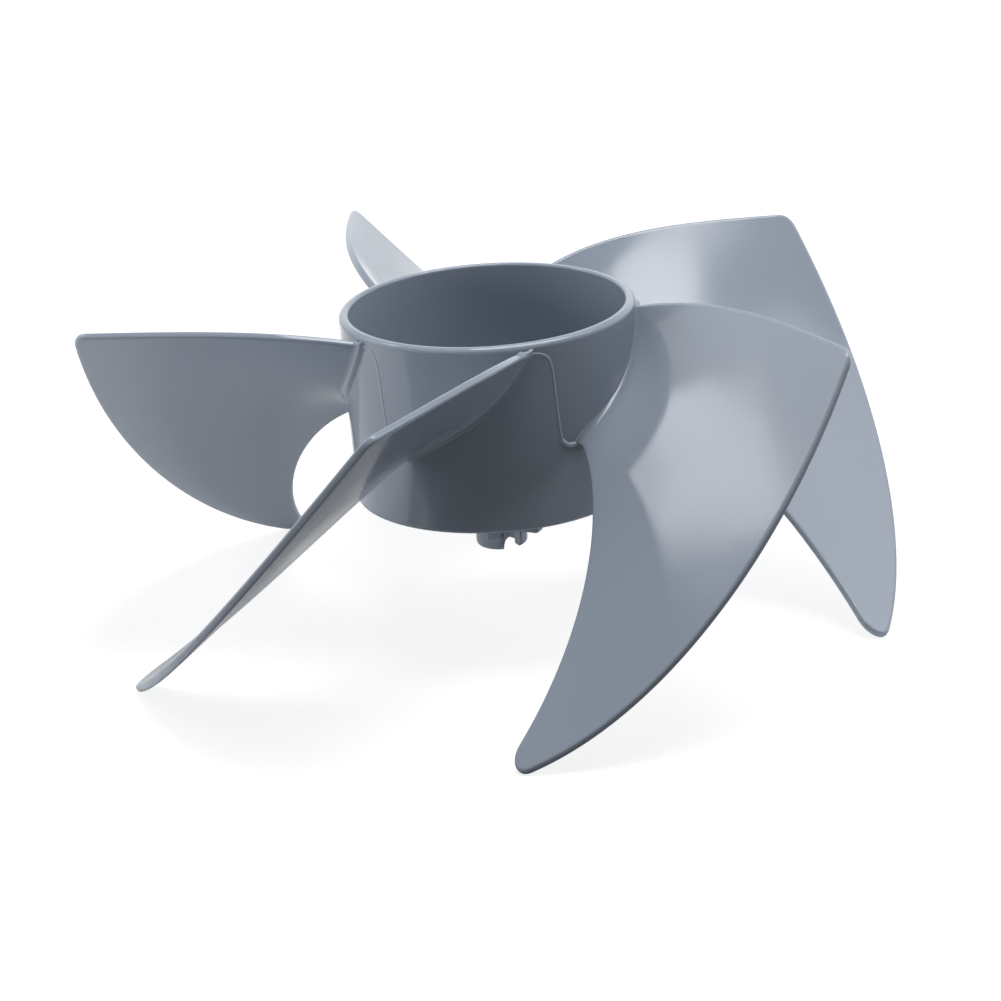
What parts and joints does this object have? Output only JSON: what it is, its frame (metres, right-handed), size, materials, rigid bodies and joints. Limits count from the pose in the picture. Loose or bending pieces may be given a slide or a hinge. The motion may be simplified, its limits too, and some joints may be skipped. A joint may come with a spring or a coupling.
{
  "type": "axial fan impeller",
  "caption": "One-piece moulded plastic axial impeller: deep open hub cup, ribbed shaft boss with a cross slot for a drive pin, and wide swept blades.",
  "frame": {"origin": "on the shaft axis, where the drive pin seats at the root of the cross slot in the boss", "axes": "+Z along the shaft axis, from the boss's slotted end towards the hub's open rim; +X lies between two blades' leading edges, 5.5 degrees ahead of the first one's root"},
  "size_m": [0.2334, 0.2302, 0.0986],
  "materials": {
    "impeller_plastic": "glossy moulded blue-grey plastic"
  },
  "bodies": {
    "root": {"impeller": "impeller_plastic"}
  },
  "joints": []
}
